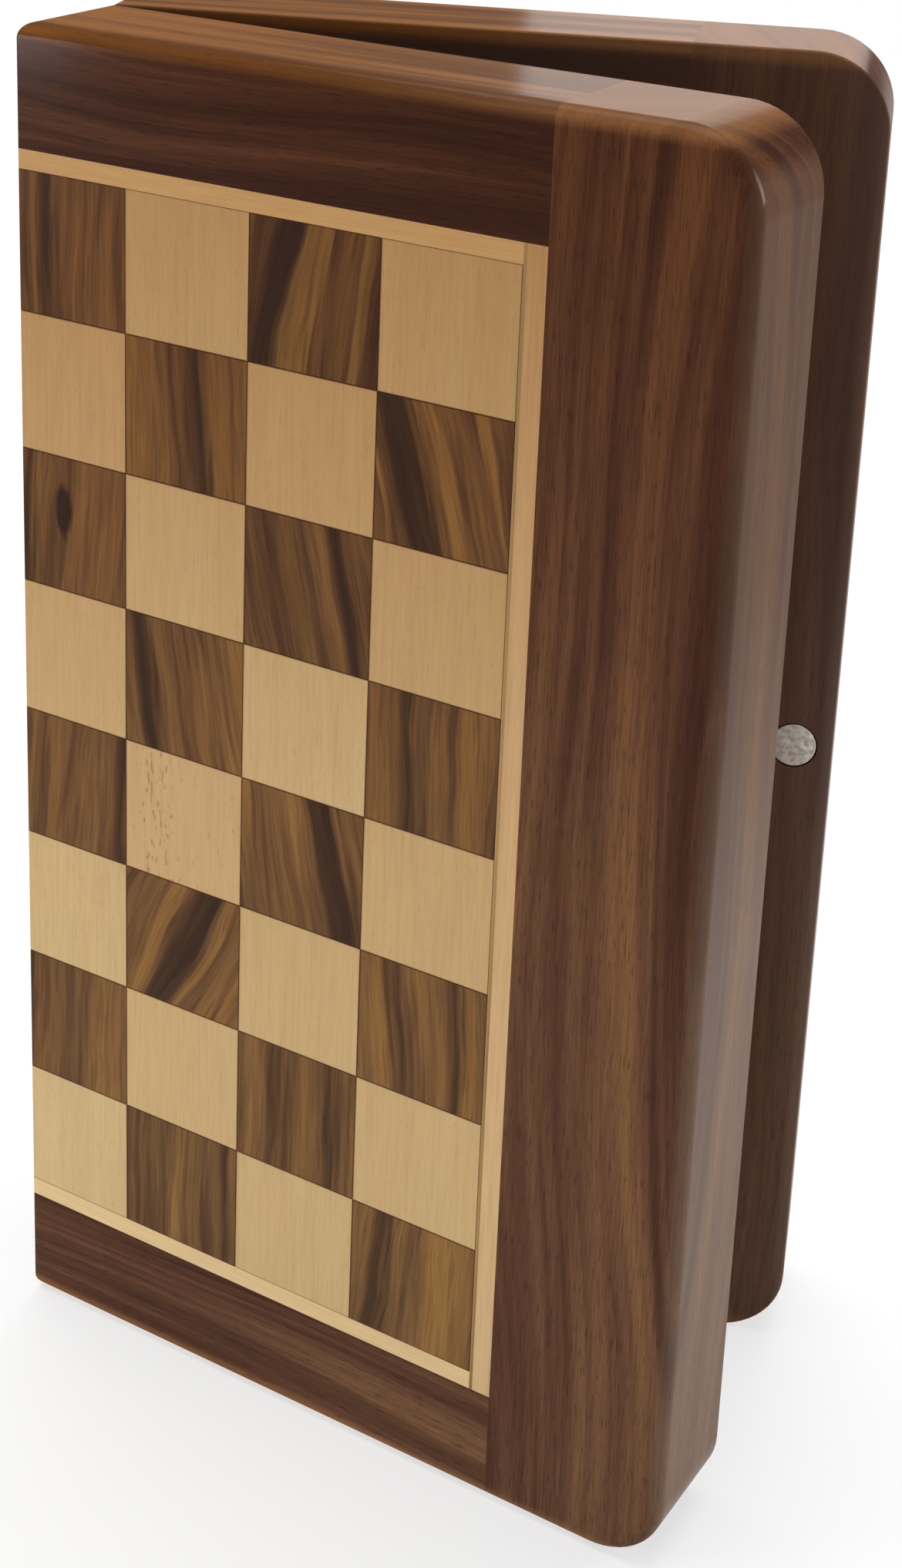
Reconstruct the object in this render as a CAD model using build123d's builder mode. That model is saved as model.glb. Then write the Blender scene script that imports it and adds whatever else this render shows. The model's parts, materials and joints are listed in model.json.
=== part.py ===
# A folding magnetic chess set: two equal hinged box halves whose backs make the board.
# The set stands on one short end and is a little open, so the fold is the vertical line on the left.
# World frame: +Z up along the board, the front half lies along +X with its squares towards -Y.
# Inside a half, x runs from the fold to the closing side, y along the board, and z from the rim
# plane, where the closed halves meet, out to the squares.
from build123d import *
from collections import namedtuple
import math
import os

os.makedirs("parts", exist_ok=True)

# Board of one half
square = 30.5
rows = 8
columns = 4
fold_trim = 2.7  # the column beside the fold is this much narrower
glue_gap = 0.1  # between neighbouring squares
line_width = 0.8  # dark line beside the last column
strip_width = 4.2  # pale strips round the squares

# Frame of one half
half_depth = 28.8  # from the rim plane to the squares
end_rail_width = 26.2
long_rail_width = 40.6
fold_rail_width = 12.0
fold_lip = 6.0  # part of the fold rail that reaches up to the squares
ledge_width = 5.0  # shelf inside the rails that carries the core panel
closing_corner_radius = 16.0
fold_corner_radius = 3.5
face_edge_radius = 3.2
rim_edge_radius = 0.6
rim_gap = 0.15  # from the rim plane to each rim
fold_gap = 0.15  # from the fold plane to each fold face
opening_angle = 20.0  # between the two rims as the set stands

# Panel under the squares
tile_thickness = 2.5
steel_thickness = 0.5
core_thickness = 3.0

# Dowels of the frame's corners
dowel_radius = 3.0
dowel_length = 24.0
dowel_end_room = 1.0
dowel_spacing = 11.0
fold_dowel_radius = 2.0

# Closing magnets
magnet_radius = 5.0
magnet_thickness = 3.0
magnet_edge_distance = 8.5  # from the closing side to the magnet's centre
magnet_pocket_clearance = 0.25
magnet_sink = 0.1

# Hinges
hinge_length = 34.0
hinge_end_distance = 62.0  # from each end of the board to the middle of a hinge
knuckles = 5
knuckle_radius = 1.8
knuckle_gap = 0.15
pin_radius = 0.9
pin_clearance = 0.05
leaf_width = 10.5
leaf_thickness = 0.9
mortise_clearance = 0.1
barrel_clearance = 0.3
screws_per_leaf = 3
screw_spacing = 10.5
screw_line = 6.6  # from the fold to the screws
screw_length = 9.0
screw_shank_radius = 0.9
screw_head_radius = 1.9
screw_slot_width = 0.5
screw_slot_depth = 0.4

# Tray that holds the chess pieces
tray_thickness = 11.5
tray_clearance = 0.3
tray_floor = 1.5
pocket_clearance = 0.3
pocket_end_room = 4.0
aisle_width = 10.0
lid_clearance = 0.85  # from the widest piece to the rim

# Chess pieces
foot_height = 2.0
roll_height = 3.0
collar_thickness = 1.8
felt_thickness = 0.6
felt_inset = 0.4
base_magnet_radius = 4.0
base_magnet_thickness = 2.5

# Forms of the turned pieces, as shares of the foot's radius
shoulder_share = 0.78
waist_share = 0.36
collar_share = 0.62
neck_share = 0.42
tower_share = 0.72
tower_bore_share = 0.5
crenel_share = 0.3
mitre_share = 0.56
mitre_slit_share = 0.12
finial_share = 0.17
queen_rim_share = 0.68
queen_flare_share = 0.46
queen_notch_share = 0.16
pearl_share = 0.19
king_rim_share = 0.66
king_flare_share = 0.48
king_dome_share = 0.42
cross_arm_share = 0.22
horse_reach_share = 0.8
horse_thickness_share = 0.72
horse_cheek_share = 1.3  # half width of the oval that rounds the head, of its reach
ball_seat_share = 0.9  # half the height of a ball that stands clear of its seat

# Heights inside a piece, as shares of its whole height
rook_collar_share = 0.66
battlement_share = 0.14
bishop_collar_share = 0.62
queen_collar_share = 0.72
king_collar_share = 0.7
king_crown_share = 0.87
knight_collar_share = 0.36

# Cuts in the crowns
queen_notch_count = 8
crenel_count = 3  # cuts right across the tower
crenel_angle = 60.0
battlement_wall_share = 1.6  # height of the tower's straight wall, of a battlement
mitre_fullest_share = 0.36  # of the mitre's height
mitre_slit_height_share = 0.62
mitre_slit_place_share = 0.4  # of the foot's radius
mitre_slit_length_share = 0.9
mitre_slit_angle = 50.0

# Foot radius and height of each kind, as shares of the king's
Kind = namedtuple("Kind", "radius_share height_share")
kinds = {
    "king": Kind(1.0, 1.0),
    "queen": Kind(0.95, 0.88),
    "bishop": Kind(0.86, 0.76),
    "knight": Kind(0.86, 0.68),
    "rook": Kind(0.86, 0.58),
    "pawn": Kind(0.76, 0.52),
}
officers = ["rook", "knight", "bishop", "queen", "king", "bishop", "knight", "rook"]

# Places that follow from the sizes
field_width = columns * square - fold_trim
field_edge = field_width + line_width + strip_width
half_width = field_edge + long_rail_width
half_length = rows * square + 2 * (strip_width + end_rail_width)
far_end = half_length - end_rail_width
tile_bottom = half_depth - tile_thickness
steel_bottom = tile_bottom - steel_thickness
panel_bottom = steel_bottom - core_thickness
rail_middle = (rim_gap + panel_bottom) / 2
notch_radius = knuckle_radius + barrel_clearance
magnet_x = half_width - magnet_edge_distance

tray_start = fold_rail_width + tray_clearance
tray_end = field_edge - ledge_width - tray_clearance
tray_y_start = end_rail_width + ledge_width + tray_clearance
tray_y_end = half_length - tray_y_start
tray_top = panel_bottom - tray_thickness
pocket_bottom = panel_bottom - tray_floor
place_pitch = (tray_y_end - tray_y_start) / len(officers)
pocket_corner = 3 * pocket_clearance  # keeps the corners clear of the round feet

king_radius = (pocket_bottom - pocket_clearance - rim_gap - lid_clearance) / 2
end_room = pocket_end_room + pocket_clearance + felt_thickness
pair_length = tray_end - tray_start - 2 * end_room - aisle_width
king_height = pair_length / (1 + kinds["pawn"].height_share)

# The origin is the middle of the footprint of the open set, on the ground
turn = math.radians(opening_angle)
along_rear = (math.cos(turn), math.sin(turn), 0)
out_rear = (-math.sin(turn), math.cos(turn), 0)
left_reach = half_depth * math.sin(turn) - fold_gap * math.cos(turn)
back_reach = (
    (half_width - face_edge_radius) * math.sin(turn)
    + (half_depth - face_edge_radius) * math.cos(turn)
    + face_edge_radius
)
fold_x = (left_reach - half_width) / 2
fold_y = (half_depth - back_reach) / 2

# The rear half is the front half turned end for end and then opened about the fold
halves = {
    "front": Plane(origin=(fold_x, fold_y, 0), x_dir=(1, 0, 0), z_dir=(0, -1, 0)),
    "rear": Plane(origin=(fold_x, fold_y, half_length), x_dir=along_rear, z_dir=out_rear),
}


def save(piece, name):
    """Labels a finished piece and writes it."""
    piece.part.label = name
    export_step(piece.part, f"parts/{name}.step")


def point(base, x, y, z):
    """A world point from a half's own x, y and z."""
    return base.from_local_coords((x, y, z))


def across(base):
    return Axis(base.origin, base.x_dir)


def along(base):
    return Axis(base.origin, base.y_dir)


def outward(base):
    return Axis(base.origin, base.z_dir)


def between(x_range, y_range):
    """Adds a rectangle between two x and two y values to the open sketch."""
    with Locations((sum(x_range) / 2, sum(y_range) / 2)):
        Rectangle(abs(x_range[1] - x_range[0]), abs(y_range[1] - y_range[0]))


def area(plane, x_range, y_range):
    """A rectangle on the plane, as a sketch of its own."""
    with BuildSketch(plane) as flat:
        between(x_range, y_range)
    return flat.sketch


def slab(base, x_range, y_range, z_range, mode=Mode.ADD):
    """A box in a half's own frame, added to or cut from the open part."""
    face = area(base.offset(z_range[0]), x_range, y_range)
    return extrude(face, amount=z_range[1] - z_range[0], mode=mode)


def corner_dowels(base):
    """Dowels from both end rails into the long rail, lying across the board."""
    mid_rail = end_rail_width / 2
    places = []
    for rail_y in (mid_rail, half_length - mid_rail):
        for shift in (-dowel_spacing / 2, dowel_spacing / 2):
            origin = point(base, field_edge, rail_y + shift, rail_middle)
            places.append(Plane(origin=origin, x_dir=base.y_dir, z_dir=base.x_dir))
    return places


def fold_dowels(base):
    """Dowels from both end rails into the fold rail, lying along the board."""
    places = []
    for joint_y in (end_rail_width, far_end):
        origin = point(base, fold_rail_width / 2, joint_y, rail_middle)
        places.append(Plane(origin=origin, x_dir=base.x_dir, z_dir=base.y_dir))
    return places


def drill_dowel_holes(base):
    """Cuts the holes of all dowels of one half from the open part."""
    hole_length = dowel_length + 2 * dowel_end_room
    with Locations(*corner_dowels(base)):
        Cylinder(dowel_radius, hole_length, mode=Mode.SUBTRACT)
    with Locations(*fold_dowels(base)):
        Cylinder(fold_dowel_radius, hole_length, mode=Mode.SUBTRACT)


def make_long_rail(base, name):
    with BuildPart() as rail:
        slab(base, (field_edge, half_width), (0, half_length), (rim_gap, half_depth))
        corners = rail.edges().filter_by(outward(base)).sort_by(across(base))[-2:]
        fillet(corners, closing_corner_radius)
        face_edges = rail.faces().sort_by(outward(base))[-1].edges().sort_by(across(base))
        fillet(face_edges[1:], face_edge_radius)
        rim_edges = rail.faces().sort_by(outward(base))[0].edges().sort_by(across(base))
        fillet(rim_edges[1:], rim_edge_radius)
        ledge_x = (field_edge - ledge_width, field_edge)
        slab(base, ledge_x, (end_rail_width, far_end), (rim_gap, panel_bottom))
        with BuildSketch(base.offset(rim_gap)) as pocket:
            with Locations((magnet_x, half_length / 2)):
                Circle(magnet_radius + magnet_pocket_clearance)
        extrude(pocket.sketch, amount=magnet_thickness + magnet_sink, mode=Mode.SUBTRACT)
        drill_dowel_holes(base)
    save(rail, name)


def make_end_rail(base, name, outer, inner):
    """A short rail from its outer to its inner y, with the ledge beyond the inner face."""
    side = math.copysign(1, inner - outer)
    outermost = 0 if side > 0 else -1
    section_plane = Plane(origin=base.origin, x_dir=base.y_dir, z_dir=base.x_dir)
    with BuildPart() as rail:
        with BuildSketch(base.offset(rim_gap)) as plan:
            between((fold_gap, field_edge), (outer, inner))
            fold_corners = plan.vertices().sort_by(Axis.X)[:2].sort_by(Axis.Y)
            fillet(fold_corners[outermost], fold_corner_radius)
        extrude(plan.sketch, amount=half_depth - rim_gap)
        with BuildSketch(section_plane) as section:
            between((outer, inner), (rim_gap, half_depth))
            face_corners = section.vertices().sort_by(Axis.Y)[-2:].sort_by(Axis.X)
            fillet(face_corners[outermost], face_edge_radius)
            rim_corners = section.vertices().sort_by(Axis.Y)[:2].sort_by(Axis.X)
            fillet(rim_corners[outermost], rim_edge_radius)
        extrude(section.sketch, amount=field_edge, mode=Mode.INTERSECT)
        ledge_x = (fold_rail_width, field_edge - ledge_width)
        slab(base, ledge_x, (inner, inner + side * ledge_width), (rim_gap, panel_bottom))
        drill_dowel_holes(base)
    save(rail, name)


def hinge_middles():
    """The middle of each hinge, measured along the board from either end."""
    return (hinge_end_distance, half_length - hinge_end_distance)


def make_fold_rail(base, name):
    with BuildPart() as rail:
        rail_y = (end_rail_width, far_end)
        slab(base, (fold_gap, fold_rail_width), rail_y, (rim_gap, tile_bottom))
        slab(base, (fold_lip, fold_rail_width), rail_y, (panel_bottom, tile_bottom), Mode.SUBTRACT)
        reach = hinge_length / 2 + mortise_clearance
        for middle in hinge_middles():
            mortise_y = (middle - reach, middle + reach)
            mortise_x = (0, leaf_width + mortise_clearance)
            mortise_z = (0, rim_gap + leaf_thickness)
            slab(base, mortise_x, mortise_y, mortise_z, Mode.SUBTRACT)
            barrel = Plane(origin=point(base, 0, middle, 0), x_dir=base.x_dir, z_dir=base.y_dir)
            with Locations(barrel):
                Cylinder(notch_radius, 2 * reach, mode=Mode.SUBTRACT)
            with Locations(*screw_places(base, middle)):
                screw_holes(screw_length)
        drill_dowel_holes(base)
    save(rail, name)


def make_dowels(base, name):
    with BuildPart() as dowels:
        with Locations(*corner_dowels(base)):
            Cylinder(dowel_radius, dowel_length)
        with Locations(*fold_dowels(base)):
            Cylinder(fold_dowel_radius, dowel_length)
    save(dowels, name)


def make_panel(base, core_name, sheet_name):
    """The core board on the rails' ledges and the thin steel sheet that the pieces cling to."""
    panel_x = (fold_lip, field_edge)
    panel_y = (end_rail_width, far_end)
    with BuildPart() as core:
        slab(base, panel_x, panel_y, (panel_bottom, steel_bottom))
    save(core, core_name)
    with BuildPart() as sheet:
        slab(base, panel_x, panel_y, (steel_bottom, tile_bottom))
    save(sheet, sheet_name)


def make_squares(base, name, odd):
    """The squares of one colour, each its own tile: those where row plus column is odd or even."""
    first_row = end_rail_width + strip_width
    with BuildPart() as tiles:
        for column in range(columns):
            for row in range(rows):
                if (row + column) % 2 != odd:
                    continue
                left = max(column * square - fold_trim, fold_gap)
                right = (column + 1) * square - fold_trim
                low = first_row + row * square
                tile_x = (left, right - glue_gap)
                tile_y = (low + glue_gap / 2, low + square - glue_gap / 2)
                slab(base, tile_x, tile_y, (tile_bottom, half_depth))
    save(tiles, name)


def make_strips(base, name):
    inner_edge = field_edge - strip_width
    with BuildPart() as strips:
        slab(base, (inner_edge, field_edge), (end_rail_width, far_end), (tile_bottom, half_depth))
        for start in (end_rail_width, far_end - strip_width):
            strip_x = (fold_gap, field_width)
            slab(base, strip_x, (start, start + strip_width), (tile_bottom, half_depth))
    save(strips, name)


def make_dark_line(base, name):
    with BuildPart() as line:
        line_x = (field_width, field_width + line_width)
        slab(base, line_x, (end_rail_width, far_end), (tile_bottom, half_depth))
    save(line, name)


def make_catch_magnet(base, name):
    top = rim_gap + magnet_sink
    with BuildPart() as magnet:
        with BuildSketch(base.offset(top)) as disc:
            with Locations((magnet_x, half_length / 2)):
                Circle(magnet_radius)
        extrude(disc.sketch, amount=magnet_thickness)
        rim = magnet.faces().sort_by(outward(base))[0].edges()
        fillet(rim, magnet_pocket_clearance)
    save(magnet, name)


# Hinges


def screw_places(base, middle):
    """Planes at the rim under each screw head of one leaf, pointing into the wood."""
    places = []
    for index in range(screws_per_leaf):
        shift = (index - (screws_per_leaf - 1) / 2) * screw_spacing
        origin = point(base, screw_line, middle + shift, rim_gap)
        places.append(Plane(origin=origin, x_dir=base.x_dir, z_dir=base.z_dir))
    return places


def screw_holes(depth):
    """Cuts a countersunk hole of the screw's own shape at each open location."""
    up = (Align.CENTER, Align.CENTER, Align.MIN)
    Cylinder(screw_shank_radius, depth, align=up, mode=Mode.SUBTRACT)
    Cone(screw_head_radius, screw_shank_radius, leaf_thickness, align=up, mode=Mode.SUBTRACT)


def make_screws(base, name):
    """Slotted countersunk screws of both leaves on one half."""
    up = (Align.CENTER, Align.CENTER, Align.MIN)
    with BuildPart() as screws:
        for middle in hinge_middles():
            with Locations(*screw_places(base, middle)):
                Cylinder(screw_shank_radius, screw_length, align=up)
                Cone(screw_head_radius, screw_shank_radius, leaf_thickness, align=up)
                slot_length = 2 * screw_head_radius
                Box(slot_length, screw_slot_width, screw_slot_depth, align=up, mode=Mode.SUBTRACT)
    save(screws, name)


def make_leaf(base, name, middle, first_knuckle, bore_radius):
    """One leaf with every second knuckle, starting from the given one."""
    start = middle - hinge_length / 2
    knuckle_pitch = (hinge_length + knuckle_gap) / knuckles
    leaf_z = (rim_gap, rim_gap + leaf_thickness)
    with BuildPart() as leaf:
        slab(base, (notch_radius, leaf_width), (start, start + hinge_length), leaf_z)
        for index in range(first_knuckle, knuckles, 2):
            low = start + index * knuckle_pitch
            high = low + knuckle_pitch - knuckle_gap
            slab(base, (0, notch_radius), (low, high), leaf_z)
            origin = point(base, 0, (low + high) / 2, 0)
            barrel = Plane(origin=origin, x_dir=base.x_dir, z_dir=base.y_dir)
            with Locations(barrel):
                Cylinder(knuckle_radius, high - low)
                Cylinder(bore_radius, high - low, mode=Mode.SUBTRACT)
        with Locations(*screw_places(base, middle)):
            screw_holes(leaf_thickness)
    save(leaf, name)


def make_hinge(name, height):
    """A butt hinge whose middle is at the given height of the standing set."""
    front = halves["front"]
    make_leaf(front, f"{name}_front_leaf", height, 0, pin_radius)
    rear_middle = half_length - height
    make_leaf(halves["rear"], f"{name}_rear_leaf", rear_middle, 1, pin_radius + pin_clearance)
    with BuildPart() as pin:
        with Locations(Plane(origin=(fold_x, fold_y, height))):
            Cylinder(pin_radius, hinge_length)
    save(pin, f"{name}_pin")


# Chess pieces, each turned about its own Z axis with its foot at zero


def turned_outline(radius, collar_top):
    """Half the outline of a foot, a stem and a collar, up to the collar's flat top."""
    waist = waist_share * radius
    shoulder = shoulder_share * radius
    collar = collar_share * radius
    roll_top = foot_height + roll_height
    collar_base = collar_top - collar_thickness
    roll_middle = ((radius + shoulder) / 2 + foot_height / 4, (foot_height + roll_top) / 2)
    sweep_middle = ((shoulder + 3 * waist) / 4, (2 * roll_top + collar_base) / 3)
    with BuildSketch(Plane.XZ) as outline:
        with BuildLine():
            Polyline((0, 0), (radius, 0), (radius, foot_height))
            ThreePointArc((radius, foot_height), roll_middle, (shoulder, roll_top))
            ThreePointArc((shoulder, roll_top), sweep_middle, (waist, collar_base))
            Line((waist, collar_base), (collar, collar_base + collar_thickness / 3))
            Line((collar, collar_base + collar_thickness / 3), (neck_share * radius, collar_top))
            Polyline((neck_share * radius, collar_top), (0, collar_top), (0, 0))
        make_face()
    return outline.sketch


def cut_magnet_seat():
    up = (Align.CENTER, Align.CENTER, Align.MIN)
    Cylinder(base_magnet_radius, base_magnet_thickness, align=up, mode=Mode.SUBTRACT)


def make_pawn(radius, height):
    ball = collar_share * radius
    with BuildPart() as pawn:
        collar_top = height - 2 * ball_seat_share * ball
        revolve(turned_outline(radius, collar_top), axis=Axis.Z)
        with Locations((0, 0, height - ball)):
            Sphere(ball)
        cut_magnet_seat()
    return pawn.part


def make_rook(radius, height):
    tower = tower_share * radius
    battlement = battlement_share * height
    collar_top = rook_collar_share * height
    wall_base = height - battlement_wall_share * battlement
    down = (Align.CENTER, Align.CENTER, Align.MAX)
    with BuildPart() as rook:
        revolve(turned_outline(radius, collar_top), axis=Axis.Z)
        with BuildSketch(Plane.XZ) as outline:
            with BuildLine():
                Polyline((0, collar_top), (neck_share * radius, collar_top), (tower, wall_base))
                Polyline((tower, wall_base), (tower, height), (0, height), (0, collar_top))
            make_face()
        revolve(outline.sketch, axis=Axis.Z)
        with Locations((0, 0, height)):
            Cylinder(tower_bore_share * radius, battlement, align=down, mode=Mode.SUBTRACT)
            cut = (2 * radius, crenel_share * radius, battlement / 2)
            for index in range(crenel_count):
                turned = (0, 0, index * crenel_angle)
                Box(*cut, rotation=turned, align=down, mode=Mode.SUBTRACT)
        cut_magnet_seat()
    return rook.part


def make_bishop(radius, height):
    finial = finial_share * radius
    collar_top = bishop_collar_share * height
    tip = height - 2 * ball_seat_share * finial
    neck = (neck_share * radius, collar_top)
    fullest = (mitre_share * radius, collar_top + mitre_fullest_share * (tip - collar_top))
    with BuildPart() as bishop:
        revolve(turned_outline(radius, collar_top), axis=Axis.Z)
        with BuildSketch(Plane.XZ) as outline:
            with BuildLine():
                Line((0, collar_top), neck)
                ThreePointArc(neck, fullest, (0, tip))
                Line((0, tip), (0, collar_top))
            make_face()
        revolve(outline.sketch, axis=Axis.Z)
        with Locations((0, 0, height - finial)):
            Sphere(finial)
        slit_height = collar_top + mitre_slit_height_share * (tip - collar_top)
        slit_middle = (mitre_slit_place_share * radius, 0, slit_height)
        slit = Plane(origin=slit_middle).rotated((0, -mitre_slit_angle, 0))
        with Locations(slit):
            slit_length = mitre_slit_length_share * radius
            Box(slit_length, 2 * radius, mitre_slit_share * radius, mode=Mode.SUBTRACT)
        cut_magnet_seat()
    return bishop.part


def make_queen(radius, height):
    pearl = pearl_share * radius
    collar_top = queen_collar_share * height
    crown_top = height - 2 * ball_seat_share * pearl
    neck = (neck_share * radius, collar_top)
    flare = (queen_flare_share * radius, (collar_top + crown_top) / 2)
    rim = (queen_rim_share * radius, crown_top - pearl)
    pearl_seat = (ball_seat_share * pearl, crown_top)
    with BuildPart() as queen:
        revolve(turned_outline(radius, collar_top), axis=Axis.Z)
        with BuildSketch(Plane.XZ) as outline:
            with BuildLine():
                Line((0, collar_top), neck)
                ThreePointArc(neck, flare, rim)
                Polyline(rim, pearl_seat, (0, crown_top), (0, collar_top))
            make_face()
        revolve(outline.sketch, axis=Axis.Z)
        with Locations((0, 0, crown_top - pearl)):
            with PolarLocations(queen_rim_share * radius, queen_notch_count):
                Sphere(queen_notch_share * radius, mode=Mode.SUBTRACT)
        with Locations((0, 0, height - pearl)):
            Sphere(pearl)
        cut_magnet_seat()
    return queen.part


def make_king(radius, height):
    arm = cross_arm_share * radius
    collar_top = king_collar_share * height
    crown_top = king_crown_share * height
    neck = (neck_share * radius, collar_top)
    flare = (king_flare_share * radius, (collar_top + crown_top) / 2 - arm)
    brim = (king_rim_share * radius, crown_top - arm)
    dome = (king_dome_share * radius, crown_top - arm / 3)
    with BuildPart() as king:
        revolve(turned_outline(radius, collar_top), axis=Axis.Z)
        with BuildSketch(Plane.XZ) as outline:
            with BuildLine():
                Line((0, collar_top), neck)
                ThreePointArc(neck, flare, brim)
                ThreePointArc(brim, dome, (arm / 2, crown_top))
                Polyline((arm / 2, crown_top), (0, crown_top), (0, collar_top))
            make_face()
        revolve(outline.sketch, axis=Axis.Z)
        cross_height = height - crown_top + arm
        with Locations((0, 0, height - cross_height / 2)):
            Box(arm, arm, cross_height)
        with Locations((0, 0, height - 3 * arm / 2)):
            Box(3 * arm, arm, arm)
        cut_magnet_seat()
    return king.part


def make_knight(radius, height):
    """A turned foot under a horse's head cut from a thick board."""
    collar_top = knight_collar_share * height
    head = height - collar_top
    reach = horse_reach_share * radius
    thickness = horse_thickness_share * radius

    def at(across_share, up_share):
        return (across_share * reach, collar_top + up_share * head)

    with BuildPart() as horse:
        with BuildSketch(Plane.XZ) as outline:
            with BuildLine():
                Spline(at(-0.75, -0.05), at(-1.0, 0.38), at(-0.62, 0.74), at(-0.05, 0.9))
                Polyline(at(-0.05, 0.9), at(0.1, 1.0), at(0.28, 0.87))
                ThreePointArc(at(0.28, 0.87), at(0.72, 0.74), at(1.12, 0.5))
                ThreePointArc(at(1.12, 0.5), at(1.16, 0.38), at(0.98, 0.32))
                ThreePointArc(at(0.98, 0.32), at(0.66, 0.37), at(0.34, 0.44))
                ThreePointArc(at(0.34, 0.44), at(0.42, 0.2), at(0.72, -0.05))
                Line(at(0.72, -0.05), at(-0.75, -0.05))
            make_face()
        extrude(outline.sketch, amount=thickness, both=True)
        with BuildSketch() as cheeks:
            Ellipse(horse_cheek_share * reach, thickness / 2)
        extrude(cheeks.sketch, amount=height, mode=Mode.INTERSECT)
    with BuildPart() as knight:
        revolve(turned_outline(radius, collar_top), axis=Axis.Z)
        add(horse.part)
        cut_magnet_seat()
    return knight.part


makers = {
    "king": make_king,
    "queen": make_queen,
    "bishop": make_bishop,
    "knight": make_knight,
    "rook": make_rook,
    "pawn": make_pawn,
}


def kind_radius(kind):
    return kinds[kind].radius_share * king_radius


def kind_height(kind):
    return kinds[kind].height_share * king_height


def place_middle(index):
    return tray_y_start + (index + 0.5) * place_pitch


def lying(base, kind, index):
    """The plane under a piece's foot as it lies in its pocket, with its head towards the aisle."""
    radius = kind_radius(kind)
    z = pocket_bottom - pocket_clearance - radius
    if kind == "pawn":
        origin = point(base, tray_end - end_room, place_middle(index), z)
        return Plane(origin=origin, x_dir=base.y_dir, z_dir=-base.x_dir)
    origin = point(base, tray_start + end_room, place_middle(index), z)
    return Plane(origin=origin, x_dir=base.y_dir, z_dir=base.x_dir)


def places_of(base, kind):
    if kind == "pawn":
        return [lying(base, kind, index) for index in range(len(officers))]
    return [lying(base, kind, index) for index, name in enumerate(officers) if name == kind]


def all_places(base):
    """Every piece of one half as its kind and its plane."""
    return [(kind, plane) for kind in kinds for plane in places_of(base, kind)]


def make_army(base, colour):
    """The sixteen pieces of one side, with the magnets and felts under their feet."""
    for kind, maker in makers.items():
        model = maker(kind_radius(kind), kind_height(kind))
        places = places_of(base, kind)
        with BuildPart() as group:
            with Locations(*places):
                add(model)
        name = kind if len(places) == 1 else f"{kind}s"
        save(group, f"{colour}_{name}")
    with BuildPart() as magnets:
        for kind, plane in all_places(base):
            with Locations(plane.offset(base_magnet_thickness / 2)):
                Cylinder(base_magnet_radius, base_magnet_thickness)
    save(magnets, f"{colour}_base_magnets")
    with BuildPart() as felts:
        for kind, plane in all_places(base):
            with Locations(plane.offset(-felt_thickness / 2)):
                Cylinder(kind_radius(kind) - felt_inset, felt_thickness)
    save(felts, f"{colour}_felt_pads")


def make_tray(base, name):
    """The padded insert, with a pocket for each piece."""
    with BuildPart() as tray:
        tray_y = (tray_y_start, tray_y_end)
        slab(base, (tray_start, tray_end), tray_y, (tray_top, panel_bottom))
        with BuildSketch(base.offset(tray_top)) as pockets:
            for index, officer in enumerate(officers):
                for kind in (officer, "pawn"):
                    length = kind_height(kind) + felt_thickness + 2 * pocket_clearance
                    if kind == "pawn":
                        x_middle = tray_end - pocket_end_room - length / 2
                    else:
                        x_middle = tray_start + pocket_end_room + length / 2
                    width = 2 * (kind_radius(kind) + pocket_clearance)
                    with Locations((x_middle, place_middle(index))):
                        RectangleRounded(length, width, pocket_corner)
        extrude(pockets.sketch, amount=tray_thickness - tray_floor, mode=Mode.SUBTRACT)
    save(tray, name)


colours = {"front": "dark", "rear": "light"}
for side, base in halves.items():
    ends = [(0, end_rail_width), (half_length, far_end)]
    bottom, top = ends if side == "front" else reversed(ends)
    make_long_rail(base, f"{side}_long_rail")
    make_end_rail(base, f"{side}_bottom_rail", *bottom)
    make_end_rail(base, f"{side}_top_rail", *top)
    make_fold_rail(base, f"{side}_fold_rail")
    make_dowels(base, f"{side}_dowels")
    make_panel(base, f"{side}_core_panel", f"{side}_steel_sheet")
    make_squares(base, f"{side}_dark_squares", 1)
    make_squares(base, f"{side}_light_squares", 0)
    make_strips(base, f"{side}_pale_strips")
    make_dark_line(base, f"{side}_dark_line")
    make_catch_magnet(base, f"{side}_catch_magnet")
    make_screws(base, f"{side}_hinge_screws")
    make_tray(base, f"{side}_tray")
    make_army(base, colours[side])

make_hinge("lower_hinge", hinge_end_distance)
make_hinge("upper_hinge", half_length - hinge_end_distance)
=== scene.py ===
# %% [markdown]
# # A folding magnetic chess set
#
# The solid parts of this set come from CAD. They are right in size, but they have no finish, their
# soft parts are plain blocks, and the knights' heads are flat boards. This lesson gives the set its
# woods and metals, models the velvet trays, the felts and the carved knights, and puts everything
# in a small studio. The first cell loads the solid parts.

import json
import math

import bmesh
import bpy
from mathutils import Matrix, Vector


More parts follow.
